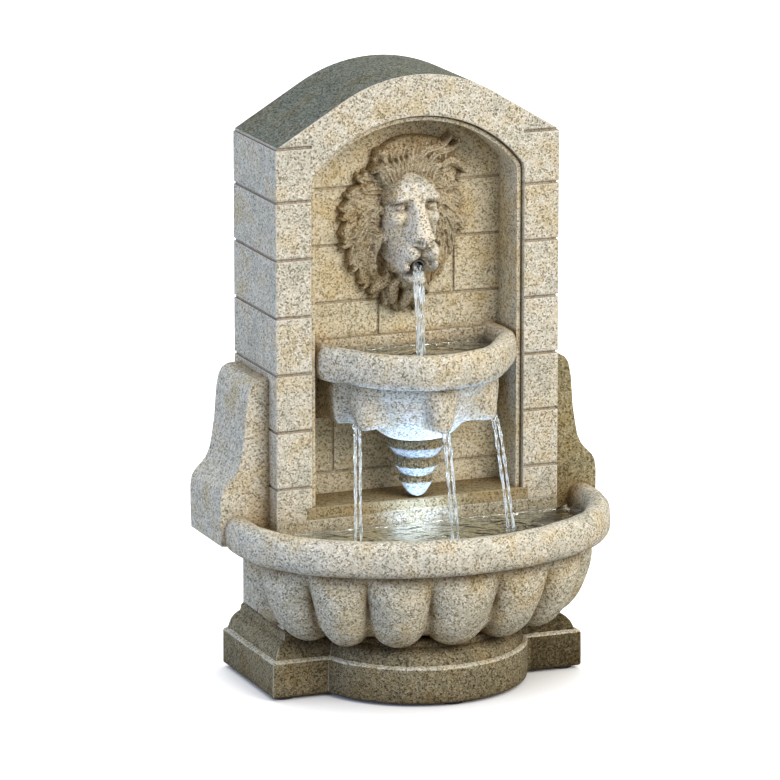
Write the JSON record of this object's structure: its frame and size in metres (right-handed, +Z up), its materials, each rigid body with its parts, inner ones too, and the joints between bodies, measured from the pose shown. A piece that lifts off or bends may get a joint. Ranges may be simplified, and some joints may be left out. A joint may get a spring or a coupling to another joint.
{
  "type": "indoor lion fountain",
  "caption": "Table fountain: arched niche with a lion mask that pours into a hanging basin, which drips into a gadrooned bowl with pump and lamp.",
  "frame": {"origin": "under the centre of the bounding box, on the plane that the feet stand on", "axes": "+Z up; the bowl faces -Y and the flat back faces +Y; +X is the viewer's right"},
  "size_m": [0.25, 0.17, 0.38],
  "materials": {
    "cast_stone": "rough sand-coloured cast",
    "mask_stone": "rough ochre cast",
    "foot_rubber": "matte",
    "dark_plastic": "fine matte",
    "grey_plastic": "fine matte",
    "white_plastic": "smooth",
    "clear_tube": "translucent hose",
    "coil": "potted winding",
    "magnet": "ferrite, matte",
    "ceramic": "polished",
    "foam": "open-cell foam",
    "board": "white circuit board with cool white chips",
    "lens": "clear",
    "lead_jacket": "satin jacket",
    "nickel": "nickel plated",
    "cover": "textured",
    "water": "clear water, still and falling"
  },
  "bodies": {
    "fountain": {"plinth": "cast_stone", "rubber_feet": "foot_rubber", "lower_basin": "cast_stone", "wall_block": "cast_stone", "left_bracket": "cast_stone", "right_bracket": "cast_stone", "upper_basin": "cast_stone", "pendant": "cast_stone", "lion_mask": "mask_stone", "mouth_spout": "dark_plastic", "hose": "clear_tube", "pump_body": "dark_plastic", "pump_stator": "coil", "impeller_cap": "dark_plastic", "impeller_shaft": "ceramic", "suction_cups": "foot_rubber", "lamp_housing": "dark_plastic", "lamp_board": "board", "lamp_seal": "foot_rubber", "lamp_lens": "lens", "lamp_lead": "lead_jacket", "pump_lead": "lead_jacket", "inlet_lead": "lead_jacket", "lead_splitter": "dark_plastic", "power_inlet": "dark_plastic", "inlet_pin": "nickel", "inlet_nut": "nickel"},
    "rear_cover": {"rear_cover": "cover"},
    "intake": {"intake_cover": "dark_plastic", "intake_sponge": "foam"},
    "slider": {"flow_slider": "grey_plastic"},
    "rotor": {"impeller": "white_plastic", "rotor_magnet": "magnet"}
  },
  "joints": [
    {"name": "rear_cover_lift", "type": "slide", "parent": "fountain", "child": "rear_cover", "axis": [0, 1, 0], "range_m": [0, 0.04]},
    {"name": "intake_pull", "type": "slide", "parent": "fountain", "child": "intake", "axis": [-1, 0, 0], "range_m": [0, 0.03]},
    {"name": "flow_slide", "type": "slide", "parent": "intake", "child": "slider", "axis": [0, 1, 0], "range_m": [0, 0.006]},
    {"name": "impeller_spin", "type": "hinge", "parent": "fountain", "child": "rotor", "pos_m": [0, 0.058, 0.069], "axis": [1, 0, 0], "continuous": true}
  ]
}
